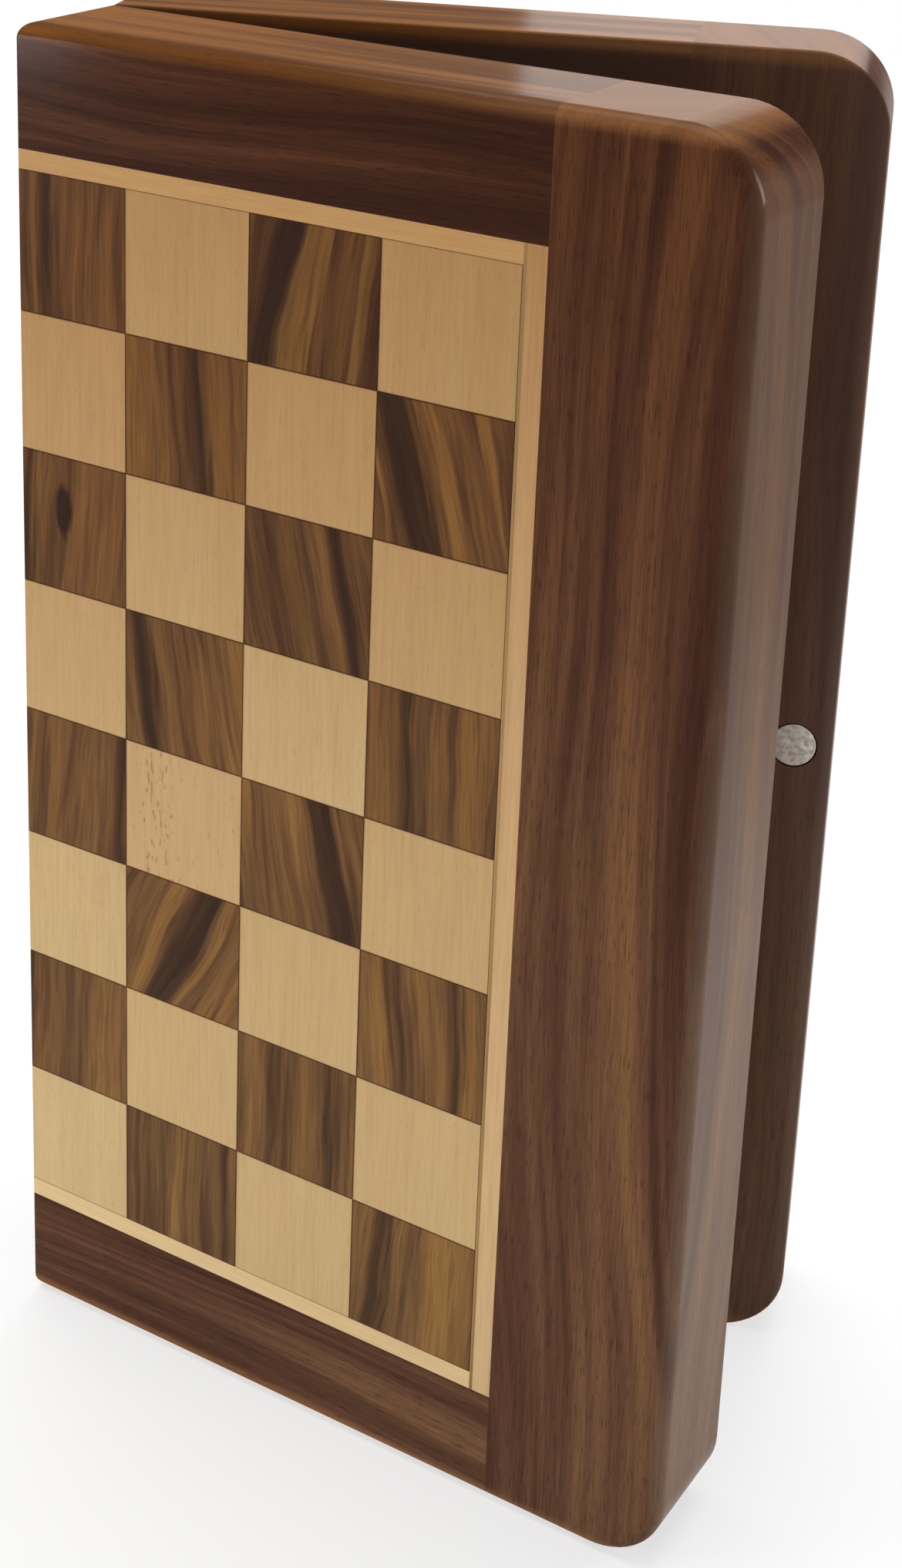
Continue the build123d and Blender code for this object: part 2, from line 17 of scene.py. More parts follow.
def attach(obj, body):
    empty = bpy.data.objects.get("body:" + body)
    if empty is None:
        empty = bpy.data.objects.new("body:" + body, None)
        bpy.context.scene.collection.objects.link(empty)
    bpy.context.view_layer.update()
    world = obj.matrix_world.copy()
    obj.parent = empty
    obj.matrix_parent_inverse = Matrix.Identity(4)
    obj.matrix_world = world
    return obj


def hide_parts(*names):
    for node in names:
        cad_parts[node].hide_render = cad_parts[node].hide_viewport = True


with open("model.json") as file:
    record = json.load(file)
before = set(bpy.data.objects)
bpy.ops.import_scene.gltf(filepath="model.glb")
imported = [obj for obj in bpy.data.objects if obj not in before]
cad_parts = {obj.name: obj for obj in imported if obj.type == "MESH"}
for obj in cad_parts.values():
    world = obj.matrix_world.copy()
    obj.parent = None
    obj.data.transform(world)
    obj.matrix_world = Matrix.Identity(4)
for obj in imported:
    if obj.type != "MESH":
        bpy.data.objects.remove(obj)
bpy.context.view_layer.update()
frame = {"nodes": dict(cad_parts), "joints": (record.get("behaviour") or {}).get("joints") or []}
bpy.ops.object.select_all(action="DESELECT")

# %% [markdown]
# ## Where things are
#
# Each half of the box is a flat tray that stands on its short end. A pattern such as grain has to
# follow its own half, so each half gets a frame of its own: X from the fold to the closing side,
# Y along the board and Z from the rim out to the squares. The rear half is the front one turned
# end for end and opened by 20 degrees about the fold.

# %% Sizes of the board, and a frame for each half
MM = 0.001
SQUARE, ROWS, COLUMNS = 30.5, 8, 4
FOLD_TRIM, LINE_WIDTH, STRIP_WIDTH = 2.7, 0.8, 4.2
END_RAIL, LONG_RAIL, FOLD_RAIL, LEDGE = 26.2, 40.6, 12.0, 5.0
FIELD_WIDTH = COLUMNS * SQUARE - FOLD_TRIM
FIELD_EDGE = FIELD_WIDTH + LINE_WIDTH + STRIP_WIDTH
HALF_WIDTH = FIELD_EDGE + LONG_RAIL
BOARD_LENGTH = ROWS * SQUARE + 2 * (STRIP_WIDTH + END_RAIL)
FIRST_ROW = END_RAIL + STRIP_WIDTH
OPENING = math.radians(20)
ENDLESS = 1e6

fold_place = Vector(frame["joints"][0]["pos_m"])
fold_place.z = 0


def half_frame(across, along, start):
    """The matrix from a half's own millimetres to the shared metres."""
    turned = Matrix((across, along, across.cross(along))).transposed().to_4x4()
    return Matrix.Translation(start) @ turned @ Matrix.Scale(MM, 4)


opened = Vector((math.cos(OPENING), math.sin(OPENING), 0))
HALVES = {
    "front": half_frame(Vector((1, 0, 0)), Vector((0, 0, 1)), fold_place),
    "rear": half_frame(
        opened, Vector((0, 0, -1)), fold_place + Vector((0, 0, BOARD_LENGTH * MM))
    ),
}
print("fold at", tuple(fold_place), "half width", HALF_WIDTH, "board", BOARD_LENGTH)

# %% [markdown]
# ## Building a finish
#
# A procedural finish is a chain of nodes: coordinates go in, patterns are made from them, and
# colours, gloss and small bumps come out. Placing nodes by hand is slow, so a small helper adds
# one node at a time and gives back its output. Colours are written as on a paint card, in six
# hex digits, and turned into the linear light that a shader works in.


# %% A helper for finishes
def paint(code):
    """A colour card's six hex digits as linear light."""
    shares = [int(code[i : i + 2], 16) / 255 for i in (0, 2, 4)]
    light = [s / 12.92 if s <= 0.04045 else ((s + 0.055) / 1.055) ** 2.4 for s in shares]
    return (*light, 1.0)


class Finish:
    """A material that is built up node by node."""

    def __init__(self, name):
        self.material = bpy.data.materials.new(name)
        self.material.use_nodes = True
        self.tree = self.material.node_tree
        self.shader = self.tree.nodes["Principled BSDF"]

    def add(self, kind, inputs=None, **settings):
        made = self.tree.nodes.new("ShaderNode" + kind)
        for name, value in settings.items():
            setattr(made, name, value)
        for name, value in (inputs or {}).items():
            if isinstance(value, bpy.types.NodeSocket):
                self.tree.links.new(value, made.inputs[name])
            else:
                made.inputs[name].default_value = value
        return made

    def math(self, operation, *values):
        return self.add("Math", dict(enumerate(values)), operation=operation).outputs[0]

    def vector(self, operation, *values):
        made = self.add("VectorMath", dict(enumerate(values)), operation=operation)
        return made.outputs["Value" if operation == "LENGTH" else "Vector"]

    def parts(self, vector):
        return self.add("SeparateXYZ", {0: vector}).outputs

    def join(self, x, y, z):
        return self.add("CombineXYZ", {0: x, 1: y, 2: z}).outputs[0]

    def noise(self, vector, size, detail=2.0, roughness=0.5):
        """Soft noise whose lumps are about as large as the given size."""
        small = self.vector("DIVIDE", vector, size)
        inputs = {"Vector": small, "Scale": 1.0, "Detail": detail, "Roughness": roughness}
        return self.add("TexNoise", inputs).outputs["Fac"]

    def between(self, value, low, high, to_low=0.0, to_high=1.0):
        """A soft step from one level to another."""
        inputs = {0: value, 1: low, 2: high, 3: to_low, 4: to_high}
        return self.add("MapRange", inputs, interpolation_type="SMOOTHSTEP").outputs[0]

    def ramp(self, value, stops, steps=False):
        made = self.add("ValToRGB", {"Fac": value})
        made.color_ramp.interpolation = "CONSTANT" if steps else "LINEAR"
        elements = made.color_ramp.elements
        elements[0].position, elements[0].color = stops[0]
        elements[1].position, elements[1].color = stops[-1]
        for position, colour in stops[1:-1]:
            elements.new(position).color = colour
        return made.outputs["Color"]

    def blend(self, share, below, above, how="MIX"):
        inputs = {0: share, 6: below, 7: above}
        return self.add("Mix", inputs, data_type="RGBA", blend_type=how).outputs[2]

    def place(self, half):
        """Where a point lies in its own half, in millimetres."""
        inputs = {
            "Vector": self.add("TexCoord").outputs["Object"],
            "Location": half.translation,
            "Rotation": half.to_euler(),
            "Scale": (MM, MM, MM),
        }
        return self.add("Mapping", inputs, vector_type="TEXTURE").outputs[0]

    def millimetres(self):
        """Where a point lies in the shared frame, in millimetres."""
        metres = self.add("TexCoord").outputs["Object"]
        return self.vector("MULTIPLY", metres, (1 / MM, 1 / MM, 1 / MM))

    def give(self, colour=None, roughness=None, height=None, bump=0.1, **others):
        """Connects what is a pattern, and sets what is plain on the shader's own socket."""
        if colour is not None:
            self.tree.links.new(colour, self.shader.inputs["Base Color"])
        if roughness is not None:
            self.tree.links.new(roughness, self.shader.inputs["Roughness"])
        if height is not None:
            made = self.add("Bump", {"Height": height, "Strength": 1.0, "Distance": bump * MM})
            self.tree.links.new(made.outputs[0], self.shader.inputs["Normal"])
        for name, value in others.items():
            socket = self.shader.inputs[name.replace("_", " ")]
            if isinstance(value, bpy.types.NodeSocket):
                self.tree.links.new(value, socket)
            else:
                socket.default_value = value
        return self.material


def coat(material, *pieces):
    """Gives pieces a finish, in place of any they have."""
    for piece in pieces:
        piece.data.materials.clear()
        piece.data.materials.append(material)


def dress(material, *nodes):
    """Gives CAD nodes a finish, by their names."""
    coat(material, *(frame["nodes"][name] for name in nodes))


print("finish helper ready")

# %% [markdown]
# ## Rosewood
#
# The dark wood is a sheesham, an Indian rosewood: warm brown, with darker streaks that follow the
# growth rings. A board is cut out of a log, so the streaks are rings about a heart line that lies
# outside the board, bent a little by how the tree grew. Measuring each point's distance from that
# line, with some slow noise added, gives bands that run true over every face and turn into arcs
# on the end grain. Fine fibres and short open pores are noise drawn out along the grain. The
# polish is a thin coat over dull wood, because a coat shows its own white gloss at a flat angle and
# the true colour of the wood from straight on. The upper end of the board is painted darker and
# warmer, as painted shade. The end faces carry a golden and rosy tint that is partly the end
# grain's colour and partly painted highlight and reflection, the closing side has a painted grey
# sheen, and the rim is darkened as painted shade.


# %% A recipe for rosewood
ROSE_BLACK, ROSE_DEEP, ROSE_DARK = paint("2c201c"), paint("432a20"), paint("563829")
ROSE_BROWN, ROSE_WARM, ROSE_GOLD = paint("694935"), paint("78563b"), paint("8f6941")
GRAIN_SHADE = [(0.25, paint("8c8c8c")), (0.6, paint("ffffff"))]
# The gold of the end faces is partly the end grain's colour and partly a painted highlight on the
# rounded edge, and the rosy tan towards the closing side is a painted reflection.
END_GOLD_AND_HIGHLIGHT, END_ROSY_REFLECTION = paint("9c6222"), paint("a87446")
# The grey of the closing side is a painted sheen, and the dark of the rim is painted shade.
SIDE_SHEEN_GREY, RIM_SHADE_DARK = paint("977a60"), paint("6d5348")

# The painted shade of the wood and the polish of the closing side, by the share of the board's
# height.
HEIGHT_SHADE_TINT = [
    (0.0, (1, 1, 1, 1)),
    (0.5, (0.84, 0.78, 0.73, 1)),
    (0.72, (0.72, 0.61, 0.53, 1)),
    (1.0, (0.57, 0.41, 0.28, 1)),
]
POLISH_LEVELS = [(0.0, 0.7), (0.45, 1.0), (0.72, 0.4), (1.0, 0.4)]
SIDE_POLISH = [(share, (level, level, level, 1)) for share, level in POLISH_LEVELS]

# How strong the coat of polish is on the board, how much more of it there is on the closing side,
# and how strong it is on the chess pieces.
COAT, SIDE_COAT, PIECE_COAT = 0.1, 0.42, 0.5

# How far each of these faces reaches round its rounded edge, in millimetres from the outside.
END_REACH, SIDE_REACH, RIM_REACH = (4.2, 1.2), (3.5, 0.5), (0.3, 0.9)


def turn_grain(finish, place, along):
    """The coordinates as across, through and along the grain."""
    x, y, z = finish.parts(place)
    return finish.join(x, z, y) if along == "y" else finish.join(y, z, x)


def growth(finish, grain, heart, wander, length):
    """The distance from the heart of the log, bent by slow noise."""
    slow = finish.noise(grain, (70, 70, length), detail=2)
    bend = finish.math("MULTIPLY", finish.math("SUBTRACT", slow, 0.5), wander)
    x, y, z = finish.parts(grain)
    x = finish.math("ADD", finish.math("SUBTRACT", x, heart[0]), bend)
    y = finish.math("SUBTRACT", y, heart[1])
    return finish.vector("LENGTH", finish.join(x, y, 0)), z


def rosewood_pattern(finish, grain, heart=(-160, -260), wander=36, length=260, band=16, tone=0.0):
    """Colour and height of rosewood: broad bands, darker and golden streaks, fibres and pores."""
    ring, z = growth(finish, grain, heart, wander, length)
    broad = finish.noise(finish.join(ring, 0, z), (band, 1, 420), detail=3, roughness=0.55)
    lines = finish.noise(finish.join(ring, 9, z), (band / 7, 1, 150), detail=3, roughness=0.6)
    streaks = finish.noise(finish.join(ring, 40, z), (band / 2.4, 1, 300), detail=2)
    fibre = finish.noise(grain, (0.45, 0.45, 16), detail=2, roughness=0.6)
    pores = finish.noise(grain, (0.3, 0.3, 5), detail=1)
    level = finish.math("MULTIPLY_ADD", lines, 0.5, finish.math("MULTIPLY_ADD", broad, 0.8, -0.15))
    level = finish.math("ADD", level, tone)
    stops = [(0.28, ROSE_DEEP), (0.40, ROSE_DARK), (0.50, ROSE_BROWN), (0.60, ROSE_WARM)]
    colour = finish.ramp(level, [*stops, (0.74, ROSE_GOLD)])
    colour = finish.blend(finish.between(streaks, 0.56, 0.68, 0, 0.6), colour, ROSE_DEEP)
    colour = finish.blend(0.45, colour, finish.ramp(fibre, GRAIN_SHADE), "MULTIPLY")
    open_pores = finish.between(pores, 0.60, 0.68, 0, 0.5)
    colour = finish.blend(open_pores, colour, ROSE_BLACK)
    height = finish.math("SUBTRACT", fibre, finish.math("MULTIPLY", open_pores, 1.5))
    return colour, height


def lacquer(finish, colour, height, bump, matt, sheen):
    """A thin polish: the wood itself is dull, and only the coat on it shines."""
    dull = finish.between(height, 0.3, 0.7, 0.7, 0.5)
    return finish.give(
        colour,
        dull,
        height,
        bump=bump,
        Specular_IOR_Level=0.0,
        Coat_Weight=sheen,
        Coat_Roughness=matt,
    )


def up_share(finish):
    """How far up the board a point is, from 0 at one end to 1 at the other."""
    height = finish.parts(finish.add("TexCoord").outputs["Object"])[2]
    return finish.math("MULTIPLY", height, 1 / (BOARD_LENGTH * MM))


def with_height_shade(finish, colour):
    """Painted shade: the upper end of the board is a little darker and warmer."""
    return finish.blend(1.0, colour, finish.ramp(up_share(finish), HEIGHT_SHADE_TINT), "MULTIPLY")


def outer_faces(finish, place):
    """Shares of the end faces, the closing side and the rim, each rising over its rounded edge,
    and how far a point is on its way from the fold to the closing side."""
    x, y, z = finish.parts(place)
    from_middle = finish.math("ABSOLUTE", finish.math("SUBTRACT", y, BOARD_LENGTH / 2))
    ends = finish.between(from_middle, *(BOARD_LENGTH / 2 - reach for reach in END_REACH))
    sides = finish.between(x, *(HALF_WIDTH - reach for reach in SIDE_REACH))
    rim = finish.between(z, *RIM_REACH, 1, 0)
    return ends, sides, rim, finish.between(x, 60, 120)


def rosewood(name, half, along, shift, tone=0.0, **figure):
    """Polished rosewood with its grain along a half's X or Y. Its end faces are golden and rosy,
    partly as painted highlight and reflection, the closing side is more polished and has a painted
    grey sheen, and the rim is darkened as painted shade."""
    finish = Finish(name)
    place = finish.place(half)
    grain = finish.vector("ADD", turn_grain(finish, place, along), shift)
    ends, sides, rim, rosy_reflection_share = outer_faces(finish, place)
    # Painted highlight and sheen: the end faces and the closing side are made lighter.
    tone_and_painted_light = finish.math("MULTIPLY_ADD", ends, 0.1, finish.math("MULTIPLY_ADD", sides, 0.03, tone))
    colour, height = rosewood_pattern(finish, grain, tone=tone_and_painted_light, **figure)
    # Painted reflection: the closing side is greyed and paled as a sheen.
    colour = finish.blend(finish.math("MULTIPLY", sides, 0.2), colour, SIDE_SHEEN_GREY)
    # Painted shade: the wood is darker and warmer towards the upper end.
    colour = with_height_shade(finish, colour)
    # Painted shade: the rim is darkened where the other half shades it.
    colour = finish.blend(finish.math("MULTIPLY", rim, 0.35), colour, RIM_SHADE_DARK)
    golden = 0.3
    if along == "x":
        golden = finish.between(finish.noise(grain, (7, 7, 140), detail=3), 0.38, 0.62, 0.2, 0.55)
    # The end faces' gold and rosy tint is partly the end grain's colour and partly painted
    # highlight and reflection.
    end_colour_and_highlight = finish.blend(rosy_reflection_share, END_GOLD_AND_HIGHLIGHT, END_ROSY_REFLECTION)
    colour = finish.blend(finish.math("MULTIPLY", ends, golden), colour, end_colour_and_highlight)
    worn = finish.math("MULTIPLY", sides, finish.ramp(up_share(finish), SIDE_POLISH))
    sheen = finish.math("MULTIPLY_ADD", worn, SIDE_COAT, COAT)
    return lacquer(finish, colour, height, bump=0.03, matt=0.12, sheen=sheen)


# The way of each rail's grain, the place in the log that it is sawn from, and its tone.
RAILS = {
    "long": ("y", (0, 0, 40), -0.03),
    "top": ("x", (300, 0, 10), -0.12),
    "bottom": ("x", (500, 0, 90), -0.05),
    "fold": ("y", (900, 0, 70), 0.0),
}
for side, half in HALVES.items():
    further = Vector((0 if side == "front" else 700, 0, 0))
    for rail, (along, shift, tone) in RAILS.items():
        wood = rosewood(f"{side}_{rail}_rail_wood", half, along, Vector(shift) + further, tone)
        dress(wood, f"{side}_{rail}_rail")
print("rails in rosewood")

# %% [markdown]
# ## The squares
#
# The squares of one colour are one CAD node, but on the board each is a tile sawn from another
# place of the plank. The row and column that a point lies in are its coordinates divided by the
# size of a square and rounded down. A random value for each such cell then shifts the log, leans
# the grain and changes the tone. The glue line and the eased edge round each tile show as a thin
# dark line.


# %% Tiles of rosewood and maple
MAPLE_PALE, MAPLE_WARM, MAPLE_ROSY = paint("c8b084"), paint("c1a577"), paint("c4a57b")
TILE_BLACK, TILE_DEEP, TILE_DARK = paint("32241f"), paint("4a3124"), paint("5c422d")
TILE_BROWN, TILE_WARM, TILE_GOLD = paint("705235"), paint("81603a"), paint("967140")
TILE_OLIVE, TILE_ORANGE = paint("917949"), paint("9e6c38")
TILE_SHIFT = (900, 60, 900)


def tile_cell(finish, place):
    """A point's column and row, how far it is from the tile's edge, and its share of the tile."""
    moved = finish.vector("ADD", place, (FOLD_TRIM, -FIRST_ROW, 0))
    counted = finish.vector("DIVIDE", moved, (SQUARE, SQUARE, ENDLESS))
    cell = finish.vector("FLOOR", counted)
    inside = finish.vector("SUBTRACT", counted, cell)
    away = finish.vector("ABSOLUTE", finish.vector("SUBTRACT", inside, (0.5, 0.5, 0)))
    x, y, z = finish.parts(away)
    edge = finish.math("SUBTRACT", 0.5, finish.math("MAXIMUM", x, y))
    return cell, finish.math("MULTIPLY", edge, SQUARE), inside


def chance(finish, cell, seed):
    """Three random values for a cell."""
    moved = finish.vector("ADD", cell, (seed, seed, 0))
    return finish.add("TexWhiteNoise", {"Vector": moved}).outputs["Color"]


# One line for each row of squares from the bottom up, with its two dark tiles. A tile's values
# are the lean of its grain in degrees, how pale it is, how strong its streaks are and where its
# darkest streak runs, as a share of the tile.
TILE_CUTS = {
    "front": [
        [(0, 0.45, 0.3, 0.9), (6, 0.7, 0.45, 0.2)],
        [(2, 0.6, 0.3, 0.1), (0, 0.5, 0.2, 0.8)],
        [(24, 0.6, 0.7, 0.5), (-4, 0.6, 0.4, 0.75)],
        [(3, 0.6, 0.35, 0.95), (-12, 0.5, 0.8, 0.72)],
        [(-10, 0.5, 0.6, 0.2), (0, 0.6, 0.4, 0.3)],
        [(4, 0.65, 0.45, 0.12), (-12, 0.4, 0.35, 0.8)],
        [(-2, 0.6, 0.4, 0.62), (-16, 0.5, 1.0, 0.3)],
        [(0, 0.6, 0.3, 0.3), (7, 0.3, 0.8, 0.22)],
    ],
}
TILE_CUTS["rear"] = [row[::-1] for row in TILE_CUTS["front"][::-1]]
KNOT_TILE, PITH_TILE = (0, 5), (1, 3)


def tile_number(finish, cell):
    """Counts the tiles of one colour: two a row, row by row."""
    x, y, z = finish.parts(cell)
    return finish.math("MULTIPLY_ADD", y, 2, finish.math("FLOOR", finish.math("MULTIPLY", x, 0.5)))


def tile_card(finish, number, cuts):
    """Looks up a tile's four values by its number, on a ramp with a step for each tile."""
    values = [cut for row in cuts for cut in row]
    stops = [
        (i / len(values), ((lean + 45) / 90, tone, streak, spot))
        for i, (lean, tone, streak, spot) in enumerate(values)
    ]
    share = finish.math("DIVIDE", finish.math("ADD", number, 0.5), len(values))
    card = finish.ramp(share, stops, steps=True)
    return *finish.parts(card), card.node.outputs["Alpha"]


def one_tile(finish, cell, chosen):
    """One on the chosen tile, and nothing elsewhere."""
    away = finish.vector("LENGTH", finish.vector("SUBTRACT", cell, (*chosen, 0)))
    return finish.math("LESS_THAN", away, 0.5)


def pith_flecks(finish, inside, flecks):
    """A column of small brown specks at a quarter of the tile's width."""
    x, y, z = finish.parts(inside)
    away = finish.math("ABSOLUTE", finish.math("SUBTRACT", x, 0.27))
    near = finish.between(away, 0.05, 0.2, 0.14, 0)
    return finish.between(finish.math("ADD", flecks, near), 0.70, 0.78, 0, 0.5)


def knot(finish, inside, grain):
    """How near a point is to the knot, as an upright oval with a ragged edge."""
    moved = finish.vector("SUBTRACT", inside, (0.46, 0.6, 0))
    moved = finish.vector("MULTIPLY", moved, (1 / 0.075, 1 / 0.2, 0))
    ragged = finish.noise(grain, (1.5, 1.5, 4), detail=2)
    away = finish.math("MULTIPLY_ADD", ragged, 0.9, finish.vector("LENGTH", moved))
    return finish.between(away, 1.1, 1.7, 0.9, 0)


def dark_tiles(name, half, seed, cuts):
    finish = Finish(name)
    place = finish.place(half)
    cell, edge, inside = tile_cell(finish, place)
    random = chance(finish, cell, seed)
    lean, tone, streak, spot = tile_card(finish, tile_number(finish, cell), cuts)
    lean = finish.math("MULTIPLY", finish.math("SUBTRACT", lean, 0.5), math.pi / 2)
    depth = finish.join(0, 0, finish.parts(place)[2])
    own = finish.vector("SUBTRACT", inside, (0.5, 0.5, 0))
    own = finish.vector("ADD", finish.vector("MULTIPLY", own, (SQUARE, SQUARE, 0)), depth)
    turned = finish.add("VectorRotate", {"Vector": own, "Angle": lean}, rotation_type="Z_AXIS")
    own = turn_grain(finish, turned.outputs[0], "y")
    shift = finish.vector("MULTIPLY", random, TILE_SHIFT)
    slow = finish.noise(finish.vector("ADD", own, shift), (22, 22, 60), detail=1)
    bend = finish.math("MULTIPLY_ADD", streak, 12, 1)
    bend = finish.math("MULTIPLY", finish.math("SUBTRACT", slow, 0.5), bend)
    wave = finish.noise(finish.vector("ADD", own, shift), (6, 6, 18), detail=1)
    bend = finish.math("MULTIPLY_ADD", finish.math("SUBTRACT", wave, 0.5), 2.0, bend)
    own = finish.vector("ADD", own, finish.join(bend, 0, 0))
    grain = finish.vector("ADD", own, shift)
    broad = finish.noise(grain, (6, 6, 120), detail=3)
    lines = finish.noise(grain, (1.7, 1.7, 34), detail=3, roughness=0.55)
    gold = finish.noise(finish.vector("ADD", grain, (170, 0, 0)), (5, 5, 110), detail=2)
    fibre = finish.noise(grain, (0.4, 0.4, 12), detail=2, roughness=0.6)
    level = finish.math("MULTIPLY_ADD", lines, 0.6, finish.math("MULTIPLY_ADD", broad, 0.6, -0.1))
    level = finish.math("ADD", level, finish.math("MULTIPLY_ADD", tone, 0.4, -0.2))
    stops = [(0.26, TILE_DEEP), (0.42, TILE_DARK), (0.52, TILE_BROWN), (0.62, TILE_WARM)]
    colour = finish.ramp(level, [*stops, (0.8, TILE_GOLD)])
    golden = finish.math("MULTIPLY", finish.between(gold, 0.52, 0.62, 0, 0.8), streak)
    colour = finish.blend(golden, colour, finish.blend(tone, TILE_OLIVE, TILE_ORANGE))
    x, y, z = finish.parts(own)
    away = finish.math("MULTIPLY_ADD", spot, -SQUARE, finish.math("ADD", x, SQUARE / 2))
    away = finish.math("MULTIPLY_ADD", lines, 5, finish.math("ADD", away, -2.5))
    away = finish.math("ABSOLUTE", away)
    width = finish.math("MULTIPLY", streak, 4.5)
    bold = finish.between(finish.math("SUBTRACT", away, width), -1.8, 1.4, 0.8, 0)
    colour = finish.blend(bold, colour, TILE_BLACK)
    colour = finish.blend(finish.between(lines, 0.57, 0.7, 0, 0.4), colour, TILE_BLACK)
    round_knot = knot(finish, inside, grain)
    round_knot = finish.math("MULTIPLY", round_knot, one_tile(finish, cell, KNOT_TILE))
    colour = finish.blend(round_knot, colour, TILE_BLACK)
    colour = finish.blend(0.35, colour, finish.ramp(fibre, GRAIN_SHADE), "MULTIPLY")
    colour = finish.blend(finish.between(edge, 0.1, 0.35, 0.75, 0), colour, ROSE_DEEP)
    # The dark tiles get the same painted shade towards the upper end.
    return lacquer(finish, with_height_shade(finish, colour), fibre, bump=0.03, matt=0.2, sheen=COAT)


def pale_tiles(name, half, seed):
    finish = Finish(name)
    place = finish.place(half)
    cell, edge, inside = tile_cell(finish, place)
    random = chance(finish, cell, seed)
    own_tone = finish.parts(random)[1]
    grain = turn_grain(finish, place, "y")
    grain = finish.vector("ADD", grain, finish.vector("MULTIPLY", random, TILE_SHIFT))
    bands = finish.noise(grain, (7, 7, 120), detail=3, roughness=0.6)
    fibre = finish.noise(grain, (0.7, 0.7, 18), detail=3, roughness=0.6)
    flecks = finish.noise(grain, (0.8, 0.8, 2.4), detail=1)
    tone = finish.math("MULTIPLY_ADD", own_tone, 0.4, 0.05)
    tone = finish.math("MULTIPLY_ADD", bands, 0.5, tone)
    colour = finish.ramp(tone, [(0.2, MAPLE_PALE), (0.5, MAPLE_WARM), (0.8, MAPLE_ROSY)])
    colour = finish.blend(0.16, colour, finish.ramp(fibre, GRAIN_SHADE), "MULTIPLY")
    colour = finish.blend(finish.between(flecks, 0.6, 0.74, 0, 0.14), colour, paint("9c7443"))
    pith = pith_flecks(finish, inside, flecks)
    pith = finish.math("MULTIPLY", pith, one_tile(finish, cell, PITH_TILE))
    colour = finish.blend(pith, colour, paint("8a7048"))
    colour = finish.blend(finish.between(edge, 0.1, 0.3, 0.6, 0), colour, paint("6a4a2a"))
    # The pale tiles get the same painted shade towards the upper end.
    return lacquer(finish, with_height_shade(finish, colour), fibre, bump=0.015, matt=0.2, sheen=COAT)


for side, half in HALVES.items():
    seed = 3 if side == "front" else 11
    dress(dark_tiles(f"{side}_dark_tile_wood", half, seed, TILE_CUTS[side]), f"{side}_dark_squares")
    dress(pale_tiles(f"{side}_pale_tile_wood", half, seed + 20), f"{side}_light_squares")
print("squares laid")

# %% [markdown]
# ## Strips, line and the hidden woods
#
# Three pale strips of maple frame the squares. Each has its grain along its own length, so the
# grain turns at the butt joints. The thin line beside the last column, the dowels and the core
# panel are plain woods with straight grain.


# %% Strips, line and the hidden woods
def maple_strips(name, half):
    """Each strip's grain runs along it: across the half at the two ends, and along the side."""
    finish = Finish(name)
    place = finish.place(half)
    x, y, z = finish.parts(place)
    from_middle = finish.math("ABSOLUTE", finish.math("SUBTRACT", y, BOARD_LENGTH / 2))
    across = finish.math("GREATER_THAN", from_middle, ROWS * SQUARE / 2)
    across = finish.math("MULTIPLY", across, finish.math("LESS_THAN", x, FIELD_WIDTH + LINE_WIDTH))
    grain = finish.blend(across, turn_grain(finish, place, "y"), turn_grain(finish, place, "x"))
    bands = finish.noise(grain, (4, 4, 100), detail=3, roughness=0.6)
    fibre = finish.noise(grain, (0.6, 0.6, 14), detail=3, roughness=0.6)
    colour = finish.ramp(bands, [(0.3, paint("ceb084")), (0.7, paint("c2a075"))])
    colour = finish.blend(finish.math("MULTIPLY", across, 0.5), colour, paint("e2c896"))
    colour = finish.blend(0.2, colour, finish.ramp(fibre, GRAIN_SHADE), "MULTIPLY")
    # The strips get the same painted shade towards the upper end.
    return lacquer(finish, with_height_shade(finish, colour), fibre, bump=0.015, matt=0.2, sheen=COAT)


def plain_wood(name, half, along, pale, dark):
    """A bare or stained wood with simple straight grain."""
    finish = Finish(name)
    grain = turn_grain(finish, finish.place(half), along)
    bands = finish.noise(grain, (2, 2, 90), detail=3, roughness=0.6)
    fibre = finish.noise(grain, (0.4, 0.4, 12), detail=2)
    colour = finish.ramp(bands, [(0.3, pale), (0.7, dark)])
    return finish.give(colour, None, fibre, bump=0.04, Roughness=0.6, Specular_IOR_Level=0.2)


# The node that each plain wood is for, the way of its grain, and its pale and dark colour.
PLAIN_WOODS = {
    "line": ("dark_line", "y", paint("9a7a4a"), paint("7e5d35")),
    "dowel": ("dowels", "x", paint("d9bd8e"), paint("c3a06c")),
    "core": ("core_panel", "x", paint("c49f6e"), paint("a37c4d")),
}
for side, half in HALVES.items():
    dress(maple_strips(f"{side}_strip_wood", half), f"{side}_pale_strips")
    for wood, (node, along, pale, dark) in PLAIN_WOODS.items():
        dress(plain_wood(f"{side}_{wood}_wood", half, along, pale, dark), f"{side}_{node}")
print("strips and lines laid")

# %% [markdown]
# ## Metals
#
# Metal that is handled is never one even colour. A soft cloud of noise makes it duller and darker
# here and there, and fine scratches run along it. The screws are of a darker brass than the hinge,
# so that their heads can be told from the leaves.


# %% Nickel, brass and steel
def metal(name, colour, worn, roughness, lump):
    finish = Finish(name)
    place = finish.millimetres()
    cloud = finish.noise(place, (lump, lump, lump), detail=4, roughness=0.6)
    scratch = finish.noise(place, (0.2, 6, 0.2), detail=2)
    tone = finish.ramp(cloud, [(0.35, colour), (0.65, worn)])
    rough = finish.between(cloud, 0.3, 0.7, roughness - 0.08, roughness + 0.12)
    return finish.give(tone, rough, scratch, bump=0.004, Metallic=1.0)


